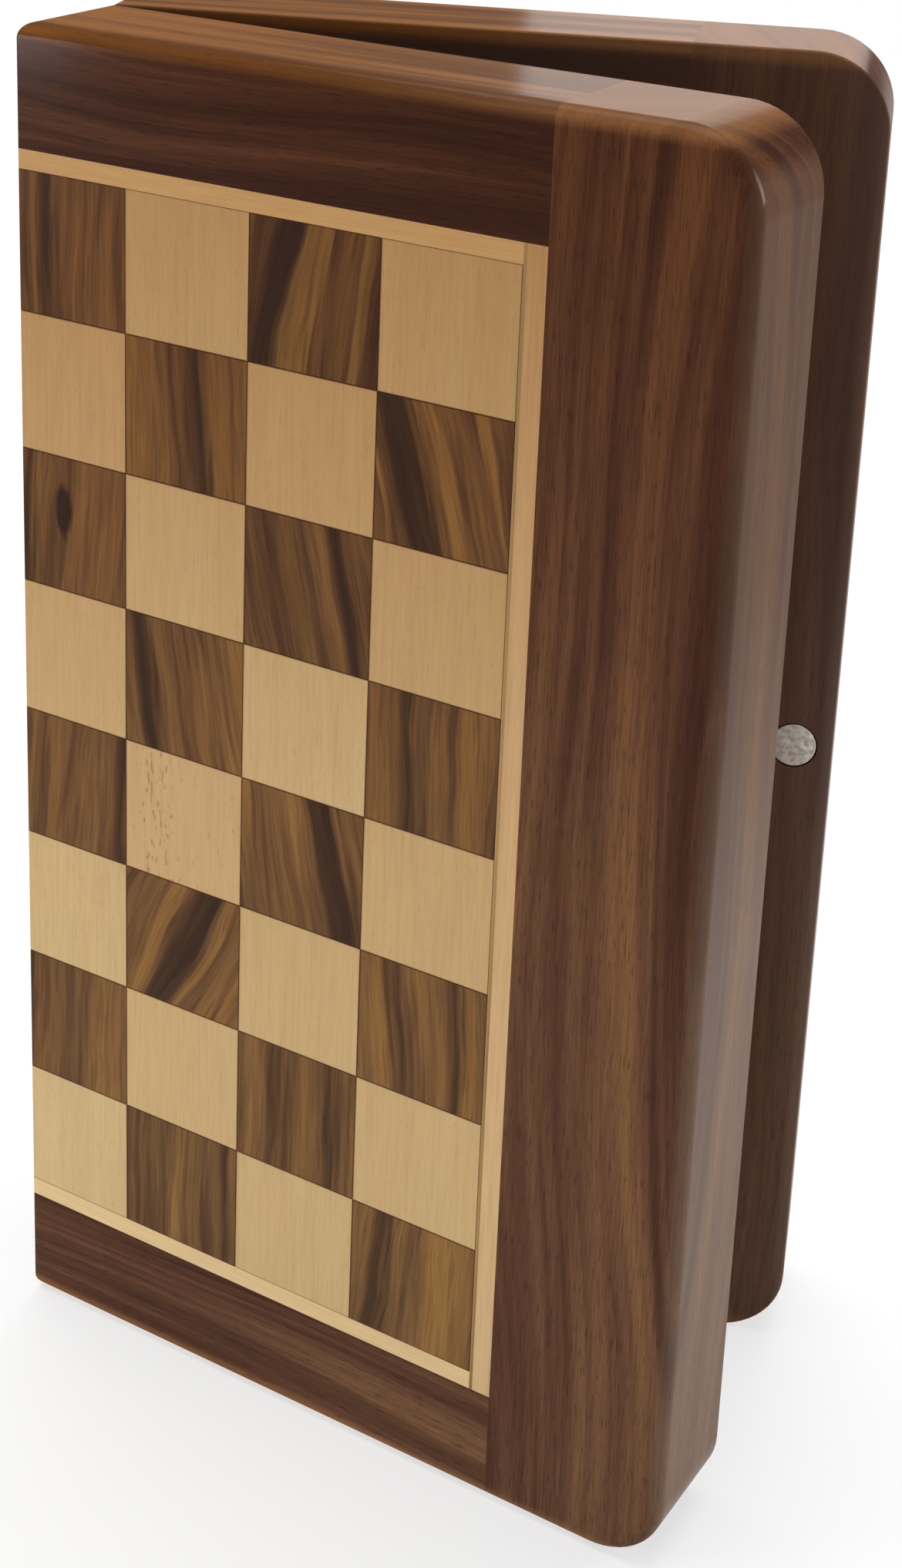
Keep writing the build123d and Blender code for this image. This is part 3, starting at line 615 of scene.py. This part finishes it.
nickel = metal("nickel", paint("cfc8bd"), paint("a1968a"), 0.34, 1.2)
brass = metal("brass", paint("d3b063"), paint("b8954c"), 0.3, 9.0)
screw_brass = metal("screw_brass", paint("a67f3c"), paint("86642c"), 0.4, 9.0)
steel = metal("steel", paint("b9babd"), paint("8e9094"), 0.4, 8.0)
for side in HALVES:
    dress(nickel, f"{side}_catch_magnet")
    dress(steel, f"{side}_steel_sheet")
    dress(brass, f"lower_hinge_{side}_leaf", f"upper_hinge_{side}_leaf")
    dress(screw_brass, f"{side}_hinge_screws")
dress(nickel, "dark_base_magnets", "light_base_magnets")
dress(brass, "lower_hinge_pin", "upper_hinge_pin")
print("metals done")

# %% [markdown]
# ## The velvet trays
#
# Inside each half lies a foam insert under dark velvet, with a pocket for each chess piece. It
# could be one block with slots cut by booleans, but those leave hard rims. Here it starts as a
# grid with a line at every edge of a pocket. The pockets are pushed down, the outside is pulled
# down to make a block, and the rims are rounded. A fine even mesh, a little smoothing and a faint
# unevenness then make it as soft as foam under cloth. A cloth simulation was left out, because
# the velvet is glued down and may not swell into the pockets.

# %% Where the chess pieces lie
KING_RADIUS, KING_HEIGHT = 10.0, 57.171

# The radius of the foot and the height of each kind, as shares of the king's.
KINDS = {
    "king": (1.0, 1.0),
    "queen": (0.95, 0.88),
    "bishop": (0.86, 0.76),
    "knight": (0.86, 0.68),
    "rook": (0.86, 0.58),
    "pawn": (0.76, 0.52),
}
OFFICERS = ["rook", "knight", "bishop", "queen", "king", "bishop", "knight", "rook"]
POCKET_ROOM, CLEARANCE = 4.0, 0.3
FELT, FELT_INSET = 0.6, 0.4
TRAY_X = (FOLD_RAIL + CLEARANCE, FIELD_EDGE - LEDGE - CLEARANCE)
TRAY_Y = (END_RAIL + LEDGE + CLEARANCE, BOARD_LENGTH - END_RAIL - LEDGE - CLEARANCE)
TRAY_TOP, TRAY_BOTTOM, POCKET_BOTTOM = 11.3, 22.8, 21.3
PITCH = (TRAY_Y[1] - TRAY_Y[0]) / len(OFFICERS)


def piece_size(kind):
    return KINDS[kind][0] * KING_RADIUS, KINDS[kind][1] * KING_HEIGHT


def place_middle(index):
    return TRAY_Y[0] + (index + 0.5) * PITCH


def pocket(index, kind):
    """The start and end of a piece's pocket across the half, and its two sides along it."""
    radius, height = piece_size(kind)
    length = height + FELT + 2 * CLEARANCE
    start = TRAY_X[0] + POCKET_ROOM
    if kind == "pawn":
        start = TRAY_X[1] - POCKET_ROOM - length
    middle, reach = place_middle(index), radius + CLEARANCE
    return start, start + length, middle - reach, middle + reach


print("pockets:", [tuple(round(v, 1) for v in pocket(i, k)) for i, k in enumerate(OFFICERS)])


# %% Tools for modelling
# Two faces that meet at more than this angle, in radians, have an edge between them.
SHARP = 0.7


def fresh(name):
    """Names the active piece and makes it the only thing selected."""
    piece = bpy.context.active_object
    bpy.ops.object.select_all(action="DESELECT")
    piece.select_set(True)
    piece.name = piece.data.name = name
    return piece


def pick(piece, kind, test):
    """In edit mode, selects the faces or edges that pass a test, and nothing else."""
    bpy.ops.object.mode_set(mode="EDIT")
    bpy.ops.mesh.select_mode(type=kind)
    bpy.ops.mesh.select_all(action="DESELECT")
    mesh = bmesh.from_edit_mesh(piece.data)
    for part in mesh.faces if kind == "FACE" else mesh.edges:
        part.select_set(test(part))
    mesh.select_flush_mode()
    bmesh.update_edit_mesh(piece.data)


def finish_mesh(piece, angle=35):
    """Turns the faces outwards, leaves edit mode and smooths the shading."""
    bpy.ops.object.mode_set(mode="EDIT")
    bpy.ops.mesh.select_all(action="SELECT")
    bpy.ops.mesh.normals_make_consistent(inside=False)
    bpy.ops.object.mode_set(mode="OBJECT")
    bpy.ops.object.shade_smooth_by_angle(angle=math.radians(angle))


def modify(piece, kind, **settings):
    """Adds a modifier with its settings and applies it."""
    made = piece.modifiers.new(kind.lower(), kind)
    for name, value in settings.items():
        setattr(made, name, value)
    bpy.context.view_layer.objects.active = piece
    bpy.ops.object.modifier_apply(modifier=made.name)


def copied(first, change):
    """A copy of a piece with a mesh of its own, which a matrix turns, sizes and moves."""
    piece = first.copy()
    piece.data = first.data.copy()
    piece.data.transform(change)
    bpy.context.collection.objects.link(piece)
    return piece


def joined(pieces, name):
    """Makes several pieces one."""
    bpy.ops.object.select_all(action="DESELECT")
    for piece in pieces:
        piece.select_set(True)
    bpy.context.view_layer.objects.active = pieces[0]
    bpy.ops.object.join()
    return fresh(name)


def settle(piece, side):
    """Moves a piece from its half's own millimetres into place, in its mesh."""
    piece.data.transform(HALVES[side])
    piece.data.update()
    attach(piece, f"{side}_half")


# %% Model the trays
# The grid has a line at the start and the end of each pocket and at the outside. The officers'
# pockets start at one of its columns and the pawns' at another.
GRID_COLUMNS, GRID_LINES = 5, 2 * len(OFFICERS) + 1
OFFICER_COLUMN, PAWN_COLUMN = 1, 3


def tray_corner(column, line):
    """Where a crossing of the grid goes."""
    first = OFFICER_COLUMN if column < PAWN_COLUMN else PAWN_COLUMN
    index = min((line - 1) // 2, len(OFFICERS) - 1) if line else 0
    kind = OFFICERS[index] if first == OFFICER_COLUMN else "pawn"
    start, end, low, high = pocket(index, kind)
    y = TRAY_Y[line == GRID_LINES]
    if 0 < line < GRID_LINES:
        y = high if (line - 1) % 2 else low
    x = {0: TRAY_X[0], GRID_COLUMNS: TRAY_X[1]}.get(column, end if column - first else start)
    return x, y, TRAY_TOP


def in_pocket(point):
    spots = [pocket(i, k) for i, officer in enumerate(OFFICERS) for k in (officer, "pawn")]
    return any(a < point.x < b and c < point.y < d for a, b, c, d in spots)


def upright(edge):
    a, b = (v.co for v in edge.verts)
    return abs(a.z - b.z) > 5 and (a - b).xy.length < 0.01


def on_top(edge):
    """True for an edge where the flat top turns down, at a pocket or at the outside."""
    level = all(abs(v.co.z - TRAY_TOP) < 0.01 for v in edge.verts)
    return level and len(edge.link_faces) == 2 and edge.calc_face_angle() > SHARP


lumps = bpy.data.textures.new("foam_lumps", "CLOUDS")
lumps.noise_scale = 14


def model_tray(side):
    bpy.ops.mesh.primitive_grid_add(x_subdivisions=GRID_COLUMNS, y_subdivisions=GRID_LINES, size=2)
    tray = fresh(f"{side}_velvet_tray")
    for vertex in tray.data.vertices:
        column = round((vertex.co.x + 1) / 2 * GRID_COLUMNS)
        line = round((vertex.co.y + 1) / 2 * GRID_LINES)
        vertex.co = tray_corner(column, line)
    pick(tray, "FACE", lambda face: in_pocket(face.calc_center_median()))
    down = {"value": (0, 0, POCKET_BOTTOM - TRAY_TOP)}
    bpy.ops.mesh.extrude_region_move(TRANSFORM_OT_translate=down)
    pick(tray, "EDGE", lambda edge: edge.is_boundary)
    down = {"value": (0, 0, TRAY_BOTTOM - TRAY_TOP)}
    bpy.ops.mesh.extrude_region_move(TRANSFORM_OT_translate=down)
    bpy.ops.mesh.edge_face_add()
    finish_mesh(tray)
    pick(tray, "EDGE", upright)
    bpy.ops.mesh.bevel(offset=0.9, segments=3)
    pick(tray, "EDGE", on_top)
    bpy.ops.mesh.bevel(offset=1.6, segments=4)
    finish_mesh(tray)
    modify(tray, "REMESH", mode="VOXEL", voxel_size=1.1, use_smooth_shade=True)
    modify(tray, "SMOOTH", factor=0.5, iterations=5)
    modify(tray, "DISPLACE", texture=lumps, texture_coords="LOCAL", strength=0.3, mid_level=1.0)
    finish_mesh(tray, 180)
    settle(tray, side)
    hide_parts(f"{side}_tray")
    return tray


trays = [model_tray(side) for side in HALVES]
print("trays:", [(tray.name, len(tray.data.polygons)) for tray in trays])

# %% [markdown]
# ## Felt under the feet
#
# Each chess piece has a thin disc of felt glued under its foot. One disc is modelled from a
# cylinder with a softened edge, and then copied to all sixteen feet of a side.


# %% Model the felts
def level_edge(edge):
    """True for an edge that runs round a disc, between its flat and its side."""
    first, second = (vertex.co.z for vertex in edge.verts)
    return abs(first - second) < 0.01 and edge.calc_face_angle() > SHARP


def felt_disc(name):
    bpy.ops.mesh.primitive_cylinder_add(vertices=48, radius=1, depth=1)
    disc = fresh(name)
    pick(disc, "FACE", lambda face: abs(face.normal.z) > 0.9)
    bpy.ops.mesh.inset(thickness=0.3)
    pick(disc, "EDGE", level_edge)
    bpy.ops.mesh.bevel(offset=0.05, segments=3)
    finish_mesh(disc)
    return disc


def felt_place(kind, index):
    """The turn, size and place of the felt under one piece, in its half's millimetres."""
    radius = piece_size(kind)[0]
    away = POCKET_ROOM + CLEARANCE + FELT / 2
    x = TRAY_X[1] - away if kind == "pawn" else TRAY_X[0] + away
    middle = Vector((x, place_middle(index), POCKET_BOTTOM - CLEARANCE - radius))
    size = Matrix.Diagonal((radius - FELT_INSET, radius - FELT_INSET, FELT, 1))
    return Matrix.Translation(middle) @ Matrix.Rotation(math.pi / 2, 4, "Y") @ size


def lay_felts(colour, side):
    first = felt_disc(f"{colour}_felts")
    feet = [(kind, i) for i, officer in enumerate(OFFICERS) for kind in (officer, "pawn")]
    discs = [copied(first, felt_place(kind, index)) for kind, index in feet]
    bpy.data.objects.remove(first)
    felts = joined(discs, f"{colour}_felts")
    settle(felts, side)
    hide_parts(f"{colour}_felt_pads")
    return felts


felts = [lay_felts("dark", "front"), lay_felts("light", "rear")]
print("felts:", [(felt.name, len(felt.data.polygons)) for felt in felts])

# %% [markdown]
# ## The knights
#
# A horse's head is carved, where the other pieces are turned. It could be one thick outline, but
# that looks sawn from a board. Here a thin head, a fuller neck and some rounded forms overlap. A
# fine even mesh joins them, and smoothing rounds them as a carver does. The foot under the head
# is an outline swept round its axis.

# %% Forms of the knight
# The outlines are seen from the side, with x towards the nose and z up, in millimetres.
HEAD_OUTLINE = [
    (-4.6, 13.2), (-5.6, 16.0), (-6.2, 20.0), (-6.2, 24.0), (-5.4, 28.0), (-3.8, 31.6),
    (-1.4, 34.6), (0.6, 35.8), (2.2, 35.4), (3.6, 33.6), (5.2, 30.8), (6.8, 27.8),
    (7.8, 25.4), (7.7, 23.6), (6.6, 22.6), (5.4, 22.9), (4.2, 24.2), (2.8, 24.6),
    (1.9, 23.4), (2.0, 21.4), (3.4, 18.4), (4.8, 15.6), (4.8, 13.2),
]
NECK_OUTLINE = [
    (-3.9, 13.2), (-4.9, 18.0), (-5.1, 23.0), (-4.3, 27.6), (-2.4, 31.6), (0.2, 33.8),
    (2.6, 32.8), (4.4, 29.8), (5.2, 27.4), (3.6, 26.0), (1.4, 25.0), (0.8, 22.8),
    (1.4, 19.6), (3.2, 16.2), (3.8, 13.2),
]
HEAD_REACH, NECK_REACH = 1.9, 2.7  # how far they reach to each side

# The middle and the radii of each rounded form.
HORSE_BALLS = {
    "cheeks": ((3.0, 0, 28.4), (2.9, 3.2, 3.2)),
    "muzzle": ((6.4, 0, 24.8), (1.8, 2.3, 2.0)),
    "chest": ((0.4, 0, 17.0), (4.6, 3.2, 4.2)),
    "left_eye": ((3.3, 2.4, 31.2), (1.0, 0.9, 0.8)),
    "right_eye": ((3.3, -2.4, 31.2), (1.0, 0.9, 0.8)),
    "left_ear": ((0.5, 1.2, 36.8), (0.9, 0.8, 2.1)),
    "right_ear": ((0.5, -1.2, 36.8), (0.9, 0.8, 2.1)),
}

# The locks of the mane, down the back of the neck.
LOCKS = [(-1.4, 35.0), (-3.4, 32.6), (-4.9, 29.7), (-5.7, 26.4), (-6.0, 23.0), (-5.8, 19.6)]
LOCK_SIZE = (1.5, 1.6, 1.5)


def bow(start, middle, end, steps=8):
    """Points of a curve from start towards end, through the middle."""
    start, middle, end = Vector(start), Vector(middle), Vector(end)
    pull = 2 * middle - (start + end) / 2
    shares = [step / steps for step in range(steps)]
    return [start * (1 - t) ** 2 + pull * 2 * t * (1 - t) + end * t * t for t in shares]


# Radius and height round the foot, from the seat of its magnet to the top of its collar.
FOOT_OUTLINE = [
    (0, 2.5), (4.0, 2.5), (4.0, 0), (8.6, 0),
    *bow((8.6, 2.0), (8.16, 3.5), (6.71, 5.0)),
    *bow((6.71, 5.0), (4.0, 7.4), (3.1, 12.2)),
    (3.1, 12.2), (5.33, 12.8), (3.61, 14.0), (0, 14.0),
]


def plate(points, thickness):
    """An outline in x and z, made this thick on each side of its plane."""
    bpy.ops.mesh.primitive_circle_add(vertices=len(points), fill_type="NGON")
    slab = fresh("horse_plate")
    for vertex, (x, z) in zip(slab.data.vertices, points):
        vertex.co = (x, -thickness, z)
    pick(slab, "FACE", lambda face: True)
    across = {"value": (0, 2 * thickness, 0)}
    bpy.ops.mesh.extrude_region_move(TRANSFORM_OT_translate=across)
    finish_mesh(slab)
    return slab


def ball(middle, radii):
    bpy.ops.mesh.primitive_uv_sphere_add(segments=24, ring_count=12, radius=1)
    form = fresh("horse_form")
    form.data.transform(Matrix.Translation(middle) @ Matrix.Diagonal((*radii, 1)))
    return form


def sweep_foot():
    """A grid with a row for each point of the outline, wrapped round the foot's axis."""
    rows = len(FOOT_OUTLINE) - 1
    bpy.ops.mesh.primitive_grid_add(x_subdivisions=64, y_subdivisions=rows, size=2)
    foot = fresh("knight_foot")
    for vertex in foot.data.vertices:
        turn = (vertex.co.x + 1) * math.pi
        radius, height = FOOT_OUTLINE[round((vertex.co.y + 1) / 2 * rows)]
        vertex.co = (radius * math.cos(turn), radius * math.sin(turn), height)
    pick(foot, "FACE", lambda face: True)
    bpy.ops.mesh.remove_doubles(threshold=0.001)
    finish_mesh(foot)
    return foot


# %% Carve one knight and lay a pair in each tray
def carve_knight():
    forms = [plate(HEAD_OUTLINE, HEAD_REACH), plate(NECK_OUTLINE, NECK_REACH)]
    forms += [ball(*form) for form in HORSE_BALLS.values()]
    forms += [ball((x, 0, z), LOCK_SIZE) for x, z in LOCKS]
    horse = joined(forms, "horse_head")
    modify(horse, "REMESH", mode="VOXEL", voxel_size=0.3, use_smooth_shade=True)
    modify(horse, "SMOOTH", factor=0.5, iterations=3)
    knight = joined([sweep_foot(), horse], "carved_knight")
    finish_mesh(knight)
    return knight


def knight_place(index):
    """Lays a knight on its side, with its height along the half's X and its nose along Y."""
    foot = TRAY_X[0] + POCKET_ROOM + CLEARANCE + FELT
    depth = POCKET_BOTTOM - CLEARANCE - piece_size("knight")[0]
    middle = place_middle(index)
    return Matrix(((0, 0, 1, foot), (1, 0, 0, middle), (0, 1, 0, depth), (0, 0, 0, 1)))


def lay_knights(first, colour, side):
    places = [i for i, officer in enumerate(OFFICERS) if officer == "knight"]
    pair = [copied(first, knight_place(index)) for index in places]
    knights = joined(pair, f"{colour}_carved_knights")
    settle(knights, side)
    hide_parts(f"{colour}_knights")
    return knights


first_knight = carve_knight()
knights = {
    "dark": lay_knights(first_knight, "dark", "front"),
    "light": lay_knights(first_knight, "light", "rear"),
}
bpy.data.objects.remove(first_knight)
print("knights:", [(knight.name, len(knight.data.polygons)) for knight in knights.values()])

# %% [markdown]
# ## Cloths and turned wood
#
# Velvet is dark where one looks into its pile and pale where the pile leans away, so it is a very
# dull cloth with a sheen. A chess piece is turned from a stick, so its grain runs along it. A
# random value for each row of pockets moves the place in the log that its pieces come from.


# %% Velvet, felt and the wood of the chess pieces
def cloth(name, deep, lit, lump, bump, **constants):
    finish = Finish(name)
    place = finish.millimetres()
    pile = finish.noise(place, (lump, lump, lump), detail=3, roughness=0.7)
    brushed = finish.noise(place, (14, 14, 14), detail=2)
    tone = finish.math("MULTIPLY_ADD", pile, 0.6, finish.math("MULTIPLY", brushed, 0.5))
    colour = finish.ramp(tone, [(0.4, deep), (0.7, lit)])
    return finish.give(colour, None, pile, bump=bump, Roughness=0.95, **constants)


velvet_sheen = {"Sheen_Weight": 0.8, "Sheen_Roughness": 0.35, "Sheen_Tint": paint("6fa080")}
velvet = cloth("velvet_green", paint("0f2a1a"), paint("1f4a2e"), 0.35, 0.12, **velvet_sheen)
wool = cloth("felt_green", paint("1c4429"), paint("2f6540"), 0.6, 0.1, Sheen_Weight=0.3)
coat(velvet, *trays)
coat(wool, *felts)


def piece_wood(name, half, seed, dark):
    """Turned pieces have their grain along their own length, which lies across the half."""
    finish = Finish(name)
    place = finish.place(half)
    counted = finish.vector("SUBTRACT", place, (TRAY_X[0], TRAY_Y[0], 0))
    counted = finish.vector("DIVIDE", counted, (ENDLESS, PITCH, ENDLESS))
    random = chance(finish, finish.vector("FLOOR", counted), seed)
    shift = finish.vector("MULTIPLY", random, (500, 80, 500))
    grain = finish.vector("ADD", turn_grain(finish, place, "x"), shift)
    if dark:
        figure = {"heart": (-30, -30), "wander": 20, "length": 90, "band": 7}
        colour, height = rosewood_pattern(finish, grain, **figure)
    else:
        bands = finish.noise(grain, (2.2, 2.2, 60), detail=3, roughness=0.6)
        height = finish.noise(grain, (0.4, 0.4, 12), detail=2, roughness=0.6)
        colour = finish.ramp(bands, [(0.3, paint("e0c287")), (0.7, paint("cfa766"))])
    return lacquer(finish, colour, height, bump=0.02, matt=0.12, sheen=PIECE_COAT)


for colour, side in (("dark", "front"), ("light", "rear")):
    wood = piece_wood(f"{colour}_piece_wood", HALVES[side], 5, colour == "dark")
    dress(wood, *(f"{colour}_{kind}" for kind in ("king", "queen", "bishops", "rooks", "pawns")))
    coat(wood, knights[colour])
print("cloths and pieces finished")

# %% [markdown]
# ## Studio
#
# The photograph shows the set on pure white. The sky is white to the camera and in reflections,
# and only what lights the wood is softer, so that the pale squares don't burn out. The floor is
# partly as white as the sky and partly plain matt, so that it keeps a faint shadow. A wide soft
# light from nearly straight above is even over the whole floor. A softbox behind is mirrored in the
# polish of the right-hand part of the end faces, and two more fill the front and closing side.


# %% Floor and sky
FLOOR_SIZE, FLOOR_GLOW, SKY_GLOW = 16, 0.65, 1.0
SKY_STRENGTH, CEILING_STRENGTH = 0.35, 2.8


def studio_white(tree, lit, amount):
    """White to the eye, in reflections and through glass, and plain matt for the light."""
    sight = tree.nodes.new("ShaderNodeLightPath")
    share = sight.outputs["Is Camera Ray"]
    for other in ("Is Glossy Ray", "Is Transmission Ray"):
        both = tree.nodes.new("ShaderNodeMath")
        both.operation = "MAXIMUM"
        tree.links.new(share, both.inputs[0])
        tree.links.new(sight.outputs[other], both.inputs[1])
        share = both.outputs[0]
    part = tree.nodes.new("ShaderNodeMath")
    part.operation = "MULTIPLY"
    part.inputs[1].default_value = amount
    tree.links.new(share, part.inputs[0])
    glow = tree.nodes.new("ShaderNodeEmission")
    mix = tree.nodes.new("ShaderNodeMixShader")
    tree.links.new(part.outputs[0], mix.inputs[0])
    tree.links.new(lit.outputs[0], mix.inputs[1])
    tree.links.new(glow.outputs[0], mix.inputs[2])
    return mix


bpy.ops.mesh.primitive_plane_add(size=FLOOR_SIZE, location=(0, 0, 0))
floor = bpy.context.active_object
floor.name = "studio_floor"
floor_material = bpy.data.materials.new("studio_floor_white")
floor_material.use_nodes = True
floor_tree = floor_material.node_tree
floor_tree.nodes.remove(floor_tree.nodes["Principled BSDF"])
matt = floor_tree.nodes.new("ShaderNodeBsdfDiffuse")
matt.inputs["Color"].default_value = (0.8, 0.8, 0.8, 1)
floor_mix = studio_white(floor_tree, matt, FLOOR_GLOW)
floor_tree.links.new(floor_mix.outputs[0], floor_tree.nodes["Material Output"].inputs[0])
floor.data.materials.append(floor_material)

world = bpy.data.worlds.new("studio_sky")
bpy.context.scene.world = world
world.use_nodes = True
sky_tree = world.node_tree
sky = sky_tree.nodes["Background"]
sky.inputs["Color"].default_value = (1, 1, 1, 1)
sky.inputs["Strength"].default_value = SKY_STRENGTH
sky_mix = studio_white(sky_tree, sky, SKY_GLOW)
sky_tree.links.new(sky_mix.outputs[0], sky_tree.nodes["World Output"].inputs[0])
print("floor and sky ready")


# %% Lamps
def soft_lamp(name, place, target, size, watts):
    """A rectangular softbox at a place, turned towards a target."""
    data = bpy.data.lights.new(name, "AREA")
    data.shape = "RECTANGLE"
    data.size, data.size_y, data.energy = *size, watts
    lamp = bpy.data.objects.new(name, data)
    bpy.context.scene.collection.objects.link(lamp)
    aim = (Vector(target) - Vector(place)).to_track_quat("-Z", "Y")
    lamp.matrix_world = Matrix.Translation(place) @ aim.to_matrix().to_4x4()


ceiling = bpy.data.lights.new("ceiling_light", "SUN")
ceiling.energy, ceiling.angle = CEILING_STRENGTH, math.radians(50)
ceiling_lamp = bpy.data.objects.new("ceiling_light", ceiling)
ceiling_lamp.rotation_euler = (math.radians(-8), math.radians(-8), 0)
bpy.context.scene.collection.objects.link(ceiling_lamp)
soft_lamp("front_softbox", (-1.1, -0.95, 0.22), (0, 0, 0), (0.5, 0.4), 13)
soft_lamp("back_softbox", (-0.366, 1.233, 0.62), (0, 0, 0.3), (0.55, 0.5), 4.5)
soft_lamp("side_softbox", (1.0, 0.9, 0.6), (0, 0, 0.15), (0.6, 0.6), 8)
print("lamps ready")

# %% [markdown]
# ## Camera
#
# The camera's place, turn and lens come from a perspective fit to the corners of the squares in the
# photograph. The photograph was cut out of a larger picture, so the lens is shifted to match.

# %% Camera
camera_data = bpy.data.cameras.new("camera")
camera_data.lens = 58.62
camera_data.sensor_width = 36
camera_data.shift_x, camera_data.shift_y = 0.0517, -0.2544
camera = bpy.data.objects.new("camera", camera_data)
bpy.context.scene.collection.objects.link(camera)
camera.location = (0.25736, -0.45138, 0.39863)
camera.rotation_euler = [math.radians(a) for a in (71.753, -1.610, 32.596)]
bpy.context.scene.camera = camera
bpy.context.scene.view_settings.view_transform = "Standard"
print("camera at", tuple(camera.location))
